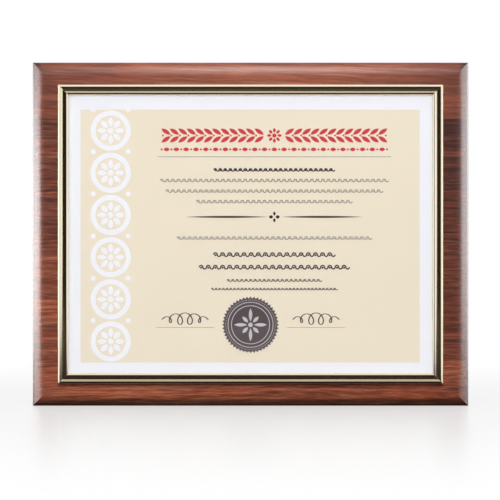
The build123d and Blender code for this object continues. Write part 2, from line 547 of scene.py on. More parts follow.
@dataclass(frozen=True)
class Rosette:
    """Leaves that spread from a small round heart.

    Attributes:
        lengths: The leaves' lengths, taken in turn.
        width: A leaf's width.
        root: How far from the middle the leaves start.
        heart: The radius of the heart.
        petals: How many leaves it has.
    """

    lengths: tuple[float, ...]
    width: float
    root: float
    heart: float
    petals: int = 8

    def faces(self, centre: Point) -> list[Outline]:
        """Its faces round a point.

        Args:
            centre: Its middle.

        Returns:
            The faces of its heart and its leaves.
        """
        faces = disc(self.heart, 24, centre)
        for number in range(self.petals):
            turn = 360 * number / self.petals
            length = self.lengths[number % len(self.lengths)]
            faces += leaf(length, self.width, turn, polar(centre, self.root, turn))
        return faces


def add_piece(name: str, mesh: Mesh, finish: Material, body: Body) -> Object:
    """Add a finished piece.

    Args:
        name: The piece's name.
        mesh: Its mesh, in metres and in place.
        finish: Its material.
        body: The body that it rides on.

    Returns:
        The piece's object, at the origin.
    """
    mesh.name = name
    mesh.materials.clear()
    mesh.materials.append(finish)
    piece = add_object(name, mesh)
    mesh.shade_smooth()
    mesh.set_sharp_from_angle(angle=SMOOTH_ANGLE)
    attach(piece, body.value)
    log.info("%s: %d faces on %s", name, len(mesh.polygons), body.value)
    return piece


def dress_node(node: str, finish: Material) -> None:
    """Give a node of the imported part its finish.

    Args:
        node: The node's name.
        finish: Its material.
    """
    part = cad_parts[node]
    if not part.material_slots:
        part.data.materials.append(None)
    for holder in part.material_slots:
        holder.link = "OBJECT"
        holder.material = finish
    log.info("%s: dressed", node)


def row(name: str, motif: Mesh, count: int, step: Vector, finish: Material) -> Mesh:
    """A motif repeated along a straight line.

    Args:
        name: The tree's name.
        motif: The first copy, in place.
        count: How many copies.
        step: From one copy to the next, in millimetres.
        finish: The material.

    Returns:
        A plain mesh.
    """
    tree = GeometryTree(name, Count=count, Right=step.x / METRE, Up=step.z / METRE)
    offset = tree.join(tree.size("Right"), 0.0, tree.size("Up"))
    values = {"Count": tree.size("Count"), "Offset": offset}
    tree.repeat(tree.node("GeometryNodeMeshLine", mode="OFFSET", **values))
    return tree.run(motif, finish)


# Finishes


@dataclass(frozen=True)
class WalnutFinish:
    """Gloss-lacquered walnut, with its grain along X.

    Attributes:
        name: The material's name.
        heart: Where the stave's growth rings have their centre, in Y and Z from the stave's own
            middle on the board's face.
        shift: How far along the log the stave was cut.
        tone: Lighter above 0 and darker below it.
        taper: How far the heart runs out of the stave for each millimetre of length.
        slope: How far the grain falls for each millimetre towards the viewer's right.
        flecks: How much short wavy grain shows.
        lean: How much darker the stave is for each millimetre towards the viewer's right.
        ends: How much darker both ends are than the middle. This is painted shade, which leaves
        the top stave brightest in the middle, under the top lamp's sheen.
        head: How much darker the stave is along its upper edge.
        painted_foot_shade: How much painted shade lies on the lower rounding, where light from
            above leaves it dark.
        painted_foot_heights: The heights between which that painted shade ends.
        sides: How much painted shade lies on the roundings at both sides, under the lacquer's
            rim highlights.
        painted_side_reach: The distances from the middle between which that painted shade begins.
        ring: The width of one year's growth.
        glue_line: How far from a glue line the wood darkens.
        end_tint, painted_shade_tint, blush_tint: What the brown is multiplied by in end grain,
        under the painted shade and in warmer patches.
        stops: The browns, from the darkest tone to the lightest.
    """

    name: str
    heart: Point
    shift: float
    tone: float
    taper: float
    slope: float
    flecks: float
    lean: float
    ends: float = 0.0
    head: float = 0.0
    painted_foot_shade: float = 0.0
    painted_foot_heights: Point = (3.8, 6.8)
    # The side roundings carry painted shade, under the lacquer's rim highlights.
    sides: float = 0.85
    painted_side_reach: Point = (157.0, 161.5)
    ring: float = 2.6
    glue_line: float = 0.34
    end_tint: Colour = (0.34, 0.30, 0.30)
    painted_shade_tint: Colour = (0.30, 0.42, 0.55)
    blush_tint: Colour = (1.28, 0.98, 0.80)
    stops: tuple[tuple[float, Colour], ...] = (
        (0.10, (0.038, 0.011, 0.008)),
        (0.30, (0.086, 0.022, 0.013)),
        (0.50, (0.160, 0.040, 0.020)),
        (0.70, (0.260, 0.070, 0.034)),
        (0.95, (0.410, 0.140, 0.072)),
    )

    def material(self, middle: float, half: float) -> Material:
        """Build the material for one stave.

        Args:
            middle: The height of the stave's middle.
            half: Half the stave's height.

        Returns:
            The lacquered wood of that stave.
        """
        tree = ShaderTree(self.name)
        log_place = tree.place((self.shift, 0.0, 0.0))
        colour = self._colour(tree, log_place, middle, half)
        x, _, z = tree.split(tree.place())
        facing_x, facing_y, _ = tree.split(tree.node("ShaderNodeTexCoord", output="Normal"))
        end_grain = tree.math("ABSOLUTE", facing_x).rising(0.55, 0.95)
        colour = tree.blend(end_grain * 0.45, colour, colour * self.end_tint)
        joint = tree.math("ABSOLUTE", z - middle).rising(half - self.glue_line, half)
        colour = tree.blend(joint * 0.75, colour, colour * 0.25)
        # Painted shade: the side roundings are darkened under the lacquer's rim highlights, and the
        # lower rounding where light from above leaves it dark.
        painted_shade = tree.math("ABSOLUTE", x).rising(*self.painted_side_reach) * self.sides
        if self.painted_foot_shade:
            painted_shade = tree.math("MAXIMUM", painted_shade, self.painted_foot_shade * (1.0 - z.rising(*self.painted_foot_heights)))
        colour = tree.blend(painted_shade, colour, colour * self.painted_shade_tint)
        pores = self._pores(tree, log_place)
        colour = tree.blend(pores * 0.5, colour, colour * 0.35)
        rear = facing_y.rising(0.85, 0.98)
        fibre = tree.noise(log_place * (0.05, 4.0, 4.0), 3.0)
        return tree.principled(
            Base_Color=colour,
            Roughness=0.42 + 0.12 * fibre + 0.12 * rear,
            Specular_IOR_Level=0.04,
            Normal=tree.bump(fibre * 0.6 + (1.0 - pores), 0.03, 0.3),
            Coat_Weight=0.38 - 0.3 * rear,
            Coat_Roughness=0.30,
            Coat_IOR=1.5,
        )

    def _colour(self, tree: ShaderTree, place: Signal, middle: float, half: float) -> Signal:
        """Rings, streaks and slow changes of tone, turned into colour.

        Args:
            tree: The material's tree.
            place: Coordinates in the log.
            middle: The height of the stave's middle.
            half: Half the stave's height.

        Returns:
            The colour before end grain, the painted shade of the roundings and pores.
        """
        sway = tree.noise(place * (0.009, 0.02, 0.03), 3.0).output("Color")
        length, _, _ = tree.split(place - (self.shift, 0.0, 0.0))
        fall = tree.join(z=length * self.slope)
        swayed = place + (sway - 0.5) * (0.0, 9.0, 9.0) + fall
        _, y, z = tree.split(swayed)
        deep = y * 0.5 - self.heart[0] + length * self.taper
        high = z - middle - self.heart[1]
        radius = tree.math("SQRT", deep * deep + high * high)
        years = radius / self.ring
        season = tree.math("FRACT", years)
        late = season.rising(0.35, 0.92) * (1.0 - season.rising(0.92, 1.0))
        values = {"W": years * 0.6, "Scale": 1.0, "Detail": 3.0}
        year = tree.node("ShaderNodeTexNoise", noise_dimensions="1D", **values)
        streak = tree.noise(swayed * (0.010, 0.35, 0.50), 3.0, 0.55)
        fleck = tree.noise(swayed * (0.06, 0.7, 0.85), 3.0, 0.6)
        fine = tree.noise(place * (0.035, 2.0, 2.0), 3.0, 0.6)
        cloud = tree.noise(place * (0.014, 0.04, 0.04), 2.0)
        tone = (
            0.5
            + self.tone
            - length * self.lean
            # Painted shade: both ends darker than the middle, so the top stave stays brightest
            # under the top lamp's sheen.
            - length * length * (self.ends / 150.0**2)
            - (z - middle).rising(half * 0.55, half) * self.head
            + (year - 0.5) * 0.42
            - late * 0.07
            + (streak - 0.5) * 0.62
            + (fleck - 0.5) * self.flecks
            + (fine - 0.5) * 0.34
            + (cloud - 0.5) * 0.40
        )
        brown = tree.ramp(tone, list(self.stops))
        blush = tree.noise(place * (0.02, 0.11, 0.11) + (40.0, 7.0, 3.0), 2.0).rising(0.42, 0.72)
        return tree.blend(blush * 0.55, brown, brown * self.blush_tint)

    def _pores(self, tree: ShaderTree, place: Signal) -> Signal:
        """Short dark pores that lie along the grain."""
        return tree.noise(place * (0.16, 3.6, 3.6) + (3.0, 11.0, 5.0), 2.0).rising(0.60, 0.70)


@dataclass(frozen=True)
class GoldFinish:
    """Polished and anodised pale gold. Its draw lines follow the moulding's own map."""

    name: str = "gold_anodised"
    colour: Colour = (0.94, 0.84, 0.65)
    deep: Colour = (0.89, 0.77, 0.55)

    def material(self) -> Material:
        """Build the material.

        Returns:
            Clouded gold with draw lines in its gloss and its relief.
        """
        tree = ShaderTree(self.name)
        mapped = tree.node("ShaderNodeUVMap", uv_map=Moulding.MAP) * METRE
        lines = tree.noise(mapped * (0.02, 9.0, 1.0), 3.0, 0.65)
        clouds = tree.noise(mapped * (0.012, 0.35, 1.0), 2.0)
        return tree.principled(
            Base_Color=tree.blend(clouds.rising(0.3, 0.8), self.colour, self.deep),
            Metallic=1.0,
            Roughness=0.07 + 0.09 * lines,
            Normal=tree.bump(lines, 0.004, 0.35),
        )


@dataclass(frozen=True)
class SteelFinish:
    """Zinc-plated steel, with a fine spangle and a few darker spots."""

    name: str
    colour: Colour
    grain: float

    def material(self) -> Material:
        """Build the material.

        Returns:
            Metal in cells of several tones, duller where it is worn.
        """
        tree = ShaderTree(self.name)
        place = tree.place()
        cells = tree.node("ShaderNodeTexVoronoi", Vector=place, Scale=self.grain, output="Color")
        shade, _, _ = tree.split(cells)
        worn = tree.noise(place * 0.8, 3.0).rising(0.5, 0.75)
        tone = 0.82 + 0.2 * shade - 0.18 * worn
        return tree.principled(
            Base_Color=tone * self.colour,
            Metallic=1.0,
            Roughness=0.28 + 0.2 * worn + 0.1 * shade,
        )


@dataclass(frozen=True)
class CardFinish:
    """Grey pulp board with short fibres."""

    name: str = "grey_card"
    light: Colour = (0.50, 0.46, 0.39)
    dark: Colour = (0.33, 0.29, 0.24)

    def material(self) -> Material:
        """Build the material.

        Returns:
            Rough pulp with darker flecks.
        """
        tree = ShaderTree(self.name)
        place = tree.place()
        pulp = tree.noise(place * 1.3, 5.0, 0.65)
        flecks = tree.noise(place * (0.9, 2.0, 2.4) + (5.0, 0.0, 9.0), 3.0).rising(0.60, 0.70)
        colour = tree.blend(pulp.rising(0.3, 0.7), self.dark, self.light)
        return tree.principled(
            Base_Color=tree.blend(flecks * 0.4, colour, self.dark),
            Roughness=0.9,
            Normal=tree.bump(pulp, 0.04, 0.5),
        )


@dataclass(frozen=True)
class PaperFinish:
    """Matte certificate paper: a cream panel on white, with faint fibres.

    Attributes:
        left, right, bottom, top: The panel's edges.
    """

    name: str = "certificate_paper"
    left: float = -128.4
    right: float = 127.8
    bottom: float = 33.0
    top: float = 224.1
    white: Colour = PRINT_WHITE
    cream: Colour = (0.867, 0.778, 0.632)

    def material(self) -> Material:
        """Build the material.

        Returns:
            Both colours of the sheet, with fibres in tone and relief.
        """
        tree = ShaderTree(self.name)
        place = tree.place()
        x, _, z = tree.split(place)
        panel = tree.inside(x, self.left, self.right) * tree.inside(z, self.bottom, self.top)
        fibre = tree.noise(place * (0.9, 1.0, 1.6), 4.0, 0.6)
        cloud = tree.noise(place * 0.012, 2.0)
        sheet = tree.blend(panel, self.white, self.cream)
        shade = 0.965 + 0.035 * fibre + 0.04 * (cloud - 0.5)
        return tree.principled(
            Base_Color=sheet * shade,
            Roughness=0.82,
            Specular_IOR_Level=0.3,
            Normal=tree.bump(fibre, 0.02, 0.4),
        )


@dataclass(frozen=True)
class InkFinish:
    """Printing ink that takes up some of the paper's fibre."""

    name: str
    colour: Colour
    roughness: float = 0.6

    def material(self) -> Material:
        """Build the material.

        Returns:
            A dull colour that follows the fibres.
        """
        tree = ShaderTree(self.name)
        fibre = tree.noise(tree.place() * (1.2, 1.0, 2.0), 3.0)
        return tree.principled(
            Base_Color=(0.88 + 0.24 * fibre) * self.colour,
            Roughness=self.roughness,
        )


@dataclass(frozen=True)
class FoilFinish:
    """Charcoal embossed foil with a fine crackle."""

    name: str = "seal_foil"
    colour: Colour = (0.106, 0.082, 0.090)

    def material(self) -> Material:
        """Build the material.

        Returns:
            A half-metallic grey with a crackle.
        """
        tree = ShaderTree(self.name)
        place = tree.place()
        crackle = tree.noise(place * 2.2, 4.0, 0.7)
        sheen = tree.noise(place * 0.06, 2.0)
        return tree.principled(
            Base_Color=(0.75 + 0.3 * crackle + 0.2 * sheen) * self.colour,
            Metallic=0.25,
            Roughness=0.42 + 0.15 * crackle,
            Normal=tree.bump(crackle, 0.02, 0.5),
        )


@dataclass(frozen=True)
class ClearFinish:
    """Clear polished sheet: see-through, with a mirror's share that grows towards grazing."""

    name: str = "clear_sheet"
    tint: Colour = (0.996, 0.998, 0.998)
    least: float = 0.04

    def material(self) -> Material:
        """Build the material.

        Returns:
            A mix of a see-through shader and a mirror.
        """
        tree = ShaderTree(self.name)
        facing = tree.node("ShaderNodeLayerWeight", 0.5, output="Facing")
        mirror = self.least + (1.0 - self.least) * facing**5.0
        clear = tree.node("ShaderNodeBsdfTransparent", self.tint)
        gloss = tree.node("ShaderNodeBsdfGlossy", WHITE, 0.03)
        return tree.finish(tree.mix(mirror, clear, gloss))


# Sub-assemblies


@dataclass
class Board:
    """Five edge-glued walnut staves."""

    staves: tuple[WalnutFinish, ...] = (
        # The bottom stave carries painted shade on its lower rounding.
        WalnutFinish("walnut_1", (26, -30), 310, 0.225, 0.030, 0.0, 1.15, 0.0002, 0.05, painted_foot_shade=0.85),
        WalnutFinish("walnut_2", (34, 40), 1270, 0.03, -0.022, 0.01, 1.05, 0.0006),
        WalnutFinish("walnut_3", (30, -48), 2330, -0.02, 0.035, -0.01, 1.0, 0.0005),
        WalnutFinish("walnut_4", (30, 70), 3410, -0.15, 0.018, 0.015, 1.0, 0.0004, head=0.14),
        # Its darker ends are painted shade, which leaves the middle brightest under the top lamp's
        # sheen.
        WalnutFinish("walnut_5", (24, -26), 4550, 0.26, 0.050, 0.045, 0.45, 0.0, 0.26),
    )

    def build(self) -> None:
        """Dress the staves."""
        for number, finish in enumerate(self.staves, start=1):
            node = f"stave_{number}"
            low, high = (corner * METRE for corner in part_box(node))
            walnut = finish.material((low.z + high.z) / 2, (high.z - low.z) / 2)
            dress_node(node, walnut)


@dataclass
class Moulding:
    """Four mitred rails of a hollow section, with a slot behind the top one."""

    MAP = "along_and_round"

    face_width: float = 8.2
    lip_reach: float = 2.7
    outer_lean: float = 20.0
    lip_round: float = 2.0
    lip_lean: float = 17.0
    lip_edge: float = 0.64
    crest: float = 0.3
    cove_radius: float = 6.0
    cove_lip_lean: float = 19.0
    cove_outer_lean: float = 25.0
    wall: float = 1.0
    back_wall: float = 0.8
    return_width: float = 1.0
    chamber: float = 2.4
    hole_radius: float = 1.45
    slot_half: float = 140.0
    slot_depth: float = 2.6
    hole_margin: float = 0.4
    edge_ease: float = 0.05
    arc_step: float = 3.0

    def build(self) -> None:
        """Build the rails and their corner keys."""
        gold = GoldFinish().material()
        low, high = (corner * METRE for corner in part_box("rail_bottom"))
        _, top = (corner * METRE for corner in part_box("rail_top"))
        self.face = high.y
        self.half_width = high.x
        self.bottom, self.top = low.z, top.z
        half_height = (self.top - self.bottom) / 2
        self.centre = Vector((0, self.face, self.bottom + half_height))
        sides = {
            "bottom": (Vector((0, 0, 1)), half_height, self.half_width),
            "top": (Vector((0, 0, -1)), half_height, self.half_width),
            "left": (Vector((1, 0, 0)), self.half_width, half_height),
            "right": (Vector((-1, 0, 0)), self.half_width, half_height),
        }
        for side, (inward, across, run) in sides.items():
            mesh = self._rail(inward, across, run)
            cutters = [self._hole(x, z) for x, z in self._screw_places()]
            if side == "top":
                cutters.append(self._slot())
            rail = carve(mesh, *cutters)
            piece = add_piece(f"moulding_{side}", rail, gold, Body.PLAQUE)
            ease = piece.modifiers.new("ease", "BEVEL")
            ease.width = self.edge_ease / METRE
            ease.segments = 2
            ease.limit_method = "ANGLE"
            ease.angle_limit = SMOOTH_ANGLE
            ease.harden_normals = True
            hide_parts(f"rail_{side}")
        steel = SteelFinish("pressed_steel", (0.62, 0.62, 0.60), 0.6).material()
        for end in ("bottom", "top"):
            for side in ("left", "right"):
                dress_node(f"corner_key_{end}_{side}", steel)

    def _arc(self, centre: Point, radius: float, start: float, end: float) -> Outline:
        """An arc of the section between two angles in degrees."""
        steps = max(4, round(abs(end - start) / self.arc_step))
        return arc(centre, radius, start, end - start, steps)

    def _leaning(self, length: float, lean: float) -> Vector:
        """A length that leans inward from straight ahead, by degrees."""
        angle = math.radians(lean)
        return Vector((length * math.sin(angle), length * math.cos(angle)))

    def _section(self) -> Outline:
        """The section, inward from the outer wall and forward from the board.

        Returns:
            A closed outline that runs over the front and back round the key chamber.
        """
        lip_round = Vector((self.face_width - self.lip_round, self.slot_depth + self.lip_edge))
        lip_crest = lip_round + self._leaning(self.lip_round - self.crest, self.lip_lean)
        reach = self.cove_radius + self.crest
        cove = lip_crest + self._leaning(reach, -self.cove_lip_lean)
        outer_crest = cove - self._leaning(reach, self.cove_outer_lean)
        sine = math.sin(math.radians(self.outer_lean))
        outer_radius = (outer_crest.x - self.crest * sine) / (1 - sine)
        outer_round = outer_crest - self._leaning(outer_radius - self.crest, -self.outer_lean)
        pocket = self.face_width - self.lip_reach
        inner = pocket - self.wall
        falling = self.cove_outer_lean
        return [
            (0.0, 0.0),
            *self._arc(outer_round, outer_radius, 180, 90 + self.outer_lean),
            *self._arc(outer_crest, self.crest, 90 + self.outer_lean, 90 - falling)[1:],
            *self._arc(cove, self.cove_radius, 270 - falling, 270 + self.cove_lip_lean)[1:],
            *self._arc(lip_crest, self.crest, 90 + self.cove_lip_lean, 90 - self.lip_lean)[1:],
            *self._arc(lip_round, self.lip_round, 90 - self.lip_lean, 0)[1:],
            (self.face_width, self.slot_depth),
            (pocket, self.slot_depth),
            (pocket, 0.0),
            (inner - self.return_width, 0.0),
            (inner - self.return_width, self.back_wall),
            (inner, self.back_wall),
            (inner, self.back_wall + self.chamber),
            (self.wall, self.back_wall + self.chamber),
            (self.wall, self.back_wall),
            (self.wall + self.return_width, self.back_wall),
            (self.wall + self.return_width, 0.0),
        ]

    def _rail(self, inward: Vector, across: float, run: float) -> Mesh:
        """One rail with mitred ends, mapped along its length and round its section.

        Args:
            inward: The way from the outer wall to the plaque's middle.
            across: How far the outer wall lies from the middle.
            run: Half the rail's length along its outer wall.

        Returns:
            A closed mesh.
        """
        section = self._section()
        front = Vector((0, -1, 0))
        wall = self.centre - inward * across
        along = inward.cross(front)
        rounds = [0.0]
        for (u0, v0), (u1, v1) in zip(section, section[1:] + section[:1]):
            rounds.append(rounds[-1] + math.hypot(u1 - u0, v1 - v0))
        work = bmesh.new()
        mapped = work.loops.layers.uv.new(self.MAP)
        ends = []
        for end in (-1, 1):
            points = (wall + inward * u + front * v + along * end * (run - u) for u, v in section)
            ends.append([work.verts.new(point / METRE) for point in points])
        count = len(section)
        for i in range(count):
            j = (i + 1) % count
            face = work.faces.new((ends[0][i], ends[0][j], ends[1][j], ends[1][i]))
            for loop, (end, place) in zip(face.loops, ((0, i), (0, i + 1), (1, i + 1), (1, i))):
                offset = run - section[place % count][0]
                loop[mapped].uv = ((offset if end else -offset) / METRE, rounds[place] / METRE)
        for cap in ends:
            work.faces.new(cap)
        bmesh.ops.recalc_face_normals(work, faces=work.faces)
        return settled(work)

    def _screw_places(self) -> Outline:
        """Where the frame screws go through, in X and Z.

        Returns:
            One point near each corner.
        """
        inset = (self.face_width - self.lip_reach) / 2
        heights = (self.bottom + inset, self.top - inset)
        return [(side * (self.half_width - inset), z) for side in (-1, 1) for z in heights]

    def _hole(self, x: float, z: float) -> Mesh:
        """The cutter for one screw hole through the back walls."""
        outline = disc(self.hole_radius, 32, (x, z))
        return prism(outline, self.face - self.back_wall - self.hole_margin, self.face + OVERRUN)

    def _slot(self) -> Mesh:
        """The cutter for the slot under the top rail.

        Returns:
            A closed mesh that is as long as the slot.
        """
        low, high = self.top - self.face_width - OVERRUN, self.top + OVERRUN
        outline = rectangle(-self.slot_half, self.slot_half, low, high)
        return prism([outline], self.face - self.slot_depth, self.face + OVERRUN)


@dataclass
class Fasteners:
    """Four pan-head screws, sunk in the board's back."""

    shank: float = 1.25
    head: float = 2.5
    head_height: float = 1.9
    head_crown: float = 0.9
    recess_width: float = 0.7
    recess_span: float = 2.8
    recess_depth: float = 1.1
    thread_depth: float = 0.12
    thread_pitch: float = 0.8
    tip_height: float = 0.3
    tip_inset: float = 0.35
    axis_gap: float = 0.001
    crown_steps: int = 8
    sides: int = 32

    def build(self) -> None:
        """Build one screw and repeat it at the four corners."""
        low, high = (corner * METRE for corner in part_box("frame_screws"))
        start = Vector((low.x + self.head, high.y, low.z + self.head))
        span_x = Vector((high.x - low.x - 2 * self.head, 0, 0))
        span_z = Vector((0, 0, high.z - low.z - 2 * self.head))
        steel = SteelFinish("plated_screw", (0.70, 0.67, 0.56), 2.0).material()
        pair = row("screw_pair", self._screw(start, high.y - low.y), 2, span_x, steel)
        screws = row("screw_pairs", pair, 2, span_z, steel)
        piece = add_piece("pan_head_screws", screws, steel, Body.PLAQUE)
        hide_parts("frame_screws")

    def _screw(self, start: Vector, length: float) -> Mesh:
        """One screw with a crowned head, a cross recess and a ridged shank.

        Args:
            start: The middle of the head's top.
            length: From the head's top to the tip.

        Returns:
            A closed mesh.
        """
        rings = [(self.axis_gap, 0.0)]
        for step in range(1, self.crown_steps + 1):
            angle = math.radians(90 * step / self.crown_steps)
            rings.append((self.head * math.sin(angle), self.head_crown * (1 - math.cos(angle))))
        rings.append((self.head, self.head_height))
        rings.append((self.shank - self.thread_depth, self.head_height))
        depth = self.head_height + self.thread_pitch / 2
        while depth < length - self.thread_pitch:
            rings.append((self.shank - self.thread_depth, depth))
            rings.append((self.shank, depth + self.thread_pitch / 2))
            depth += self.thread_pitch
        rings.append((self.shank - self.thread_depth, length - self.tip_height))
        rings += [(self.shank - self.tip_inset, length), (self.axis_gap, length)]
        work = bmesh.new()
        loops = []
        for radius, down in rings:
            loop = []
            for side in range(self.sides):
                angle = 2 * math.pi * side / self.sides
                spot = start + Vector((radius * math.cos(angle), -down, radius * math.sin(angle)))
                loop.append(work.verts.new(spot / METRE))
            loops.append(loop)
        for upper, lower in zip(loops, loops[1:]):
            for side in range(self.sides):
                after = (side + 1) % self.sides
                work.faces.new((upper[side], upper[after], lower[after], lower[side]))
        work.faces.new(loops[0])
        work.faces.new(loops[-1])
        bmesh.ops.remove_doubles(work, verts=work.verts, dist=2e-6)
        bmesh.ops.recalc_face_normals(work, faces=work.faces)
        return carve(settled(work), *(self._recess(start, turned) for turned in (False, True)))

    def _recess(self, start: Vector, turned: bool) -> Mesh:
        """The cutter for one arm of the cross recess.

        Args:
            start: The middle of the head's top.
            turned: Whether the arm stands upright.

        Returns:
            A closed mesh.
        """
        wide, high = self.recess_span / 2, self.recess_width / 2
        if turned:
            wide, high = high, wide
        outline = rectangle(start.x - wide, start.x + wide, start.z - high, start.z + high)
        return prism([outline], start.y - self.recess_depth, start.y + OVERRUN)


@dataclass
class Print:
    """What is printed on the sheet: a white rosette column, a red garland and ruled lines.

    The places are on the sheet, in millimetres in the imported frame.
    """

    ink_depth: float = 0.03
    column_x: float = -105.6
    rosette_radius: float = 15.2
    rosette_ring: float = 3.8
    rosettes: int = 6
    rosette: Rosette = Rosette((7.4,), 4.0, 3.0, 2.2)
    bud_radius: float = 1.9
    bud_reach: float = 13.2
    column_bottom: float = 33.0
    column_top: float = 224.1
    text_middle: float = 18.0
    text_width: float = 176.0
    garland_z: float = 204.5
    leaf_length: float = 8.4
    leaf_width: float = 3.1
    leaf_pitch: float = 6.4
    leaf_tilt: float = 34.0
    leaf_offset: float = 34 / 60
    garland_gap: float = 8.0
    garland_rosette: Rosette = Rosette((3.6,), 2.2, 2.1, 1.6)
    berry_radius: float = 0.75
    berry_reach: float = 5.76
    beads_z: float = 194.0
    bead_radius: float = 0.8
    bead_pitch: float = 7.4
    bead_leaf: float = 0.62
    bead_leaf_width: float = 2.9
    rule_z: float = 188.4
    rule_width: float = 0.32
    wave_rows: tuple[tuple[float, float, float, float], ...] = (
        (178.5, 92.0, 0.95, 0.90),
        (170.5, 176.0, 1.05, 0.50),
        (162.5, 164.0, 1.05, 0.50),
        (154.5, 118.0, 1.05, 0.50),
        (127.0, 150.0, 1.05, 0.50),
        (114.5, 92.0, 1.35, 1.00),
        (105.0, 116.0, 1.35, 1.00),
        (95.0, 72.0, 0.85, 0.60),
        (88.5, 96.0, 0.70, 0.55),
    )
    divider_z: float = 143.0
    divider_length: float = 62.0
    divider_width: float = 1.5
    divider_gap: float = 5.0
    drop_length: float = 3.2
    drop_widths: Point = (2.6, 1.9)
    drop_root: float = 0.9
    sign_z: float = 59.5
    sign_half_gap: float = 27.5
    sign_width: float = 44.0
    flourish_size: Point = (36.0, 9.0)
    flourish_rise: float = 6.5
    flourish_loops: int = 5
    loop_reach: float = 3.6
    pen_thin: float = 0.24
    pen_swell: float = 0.22

    def build(self) -> None:
        """Print the sheet."""
        low, _ = (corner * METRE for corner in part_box("certificate"))
        self.back = low.y + SINK
        self.front = low.y - self.ink_depth
        white = InkFinish("white_ink", PRINT_WHITE).material()
        red = InkFinish("red_ink", (0.60, 0.045, 0.055)).material()
        black = InkFinish("charcoal_ink", (0.022, 0.018, 0.018)).material()
        rust = InkFinish("rust_ink", (0.40, 0.20, 0.16)).material()
        for name, mesh, ink in (
            ("print_rosette_column", self._column(white), white),
            ("print_garland", self._garland(red), red),
            ("print_lines", self._lines(black), black),
            ("print_sign_rules", self._sign_rules(), rust),
        ):
            add_piece(name, mesh, ink, Body.INSERT)

    def _solid(self, faces: list[Outline]) -> Mesh:
        """A printed shape."""
        return prism(faces, self.front, self.back)

    def _column(self, ink: Material) -> Mesh:
        """Rosettes in rings, one above the other, with small buds between them.

        Args:
            ink: Its material.

        Returns:
            A plain mesh.
        """
        pitch = (self.column_top - self.column_bottom) / self.rosettes
        centre = (self.column_x, self.column_bottom + pitch / 2)
        middle = self.rosette_radius - self.rosette_ring / 2
        faces = ring(centre, middle, self.rosette_ring, 72) + self.rosette.faces(centre)
        for side in (-1, 1):
            bud = (centre[0] + side * self.bud_reach, centre[1] + pitch / 2)
            faces += disc(self.bud_radius, 16, bud)
        return row("rosette_column", self._solid(faces), self.rosettes, Vector((0, 0, pitch)), ink)

    def _garland(self, ink: Material) -> Mesh:
        """Laurel leaves that spread from a small rosette, over a row of beads.

        Args:
            ink: Its material.

        Returns:
            A plain mesh.
        """
        middle = (self.text_middle, self.garland_z)
        meshes = [self._solid(self.garland_rosette.faces(middle))]
        count = int((self.text_width / 2 - self.garland_gap) / self.leaf_pitch)
        for side in (-1, 1):
            root = (middle[0] + side * self.garland_gap, middle[1])
            berry = (root[0] + side * self.berry_reach, root[1])
            motif = disc(self.berry_radius, 12, berry)
            for up in (1, -1):
                turn = 90 - side * (90 - up * self.leaf_tilt)
                start = (root[0], root[1] + up * self.leaf_offset)
                motif += leaf(self.leaf_length, self.leaf_width, turn, start)
            step = Vector((side * self.leaf_pitch, 0, 0))
            meshes.append(row("laurel", self._solid(motif), count, step, ink))
        beads = int(self.text_width / self.bead_pitch)
        left = middle[0] - self.bead_pitch * beads / 2
        start = (left + self.bead_pitch * (1 - self.bead_leaf) / 2, self.beads_z)
        motif = leaf(self.bead_pitch * self.bead_leaf, self.bead_leaf_width, 0, start)
        motif += disc(self.bead_radius, 12, (left, self.beads_z))
        meshes.append(row("beads", self._solid(motif), beads, Vector((self.bead_pitch, 0, 0)), ink))
        last = (left + self.bead_pitch * beads, self.beads_z)
        meshes.append(self._solid(disc(self.bead_radius, 12, last)))
        return joined(*meshes)

    def _rule(self, middle: float, width: float, z: float) -> Outline:
        """A straight rule."""
        low, high = z - self.rule_width / 2, z + self.rule_width / 2
        return rectangle(middle - width / 2, middle + width / 2, low, high)

    def _lines(self, ink: Material) -> Mesh:
        """A fine rule, rows of waves, a divider with four drops and two flourishes.

        Args:
            ink: Its material.

        Returns:
            A plain mesh.
        """
        faces = [self._rule(self.text_middle, self.text_width, self.rule_z)]
        middle = (self.text_middle, self.divider_z)
        for turn in (0, 180):
            root = polar(middle, self.divider_gap, turn)
            faces += leaf(self.divider_length, self.divider_width, turn, root, 24)
        for number in range(4):
            turn = 90 * number
            width = self.drop_widths[number % 2]
            faces += leaf(self.drop_length, width, turn, polar(middle, self.drop_root, turn))
        meshes = [self._solid(faces)]
        for z, width, radius, stroke in self.wave_rows:
            meshes.append(self._waves(z, width, radius, stroke, ink))
        for side, x in self._signs():
            meshes.append(self._solid(self._flourish((x, self.sign_z + self.flourish_rise), side)))
        return joined(*meshes)

    def _signs(self) -> list[tuple[int, float]]:
        """The side and the middle of each rule to sign on."""
        return [(side, side * (self.sign_half_gap + self.sign_width / 2)) for side in (-1, 1)]

    def _flourish(self, middle: Point, side: int) -> list[Outline]:
        """A looped pen stroke that dies away to both ends.

        Args:
            middle: Its middle.
            side: 1 as it is, -1 mirrored.

        Returns:
            Its faces.
        """
        width, height = self.flourish_size
        steps = 120
        spine = []
        for step in range(steps + 1):
            way = 2 * step / steps - 1
            swell = 1 - way * way
            turn = self.flourish_loops * math.pi * way
            x = side * (way * width / 2 + swell * self.loop_reach * math.sin(turn))
            z = swell * height / 2 * math.cos(turn)
            spine.append(Vector((middle[0] + x, middle[1] + z)))
        strokes: list[Outline] = [[], []]
        for before, point, after in zip(spine, spine[1:], spine[2:]):
            along = (after - before).normalized()
            half = self.pen_thin + self.pen_swell * abs(along.y)
            across = Vector((-along.y, along.x)) * half
            strokes[0].append(tuple(point + across))
            strokes[1].append(tuple(point - across))
        return band(*strokes)

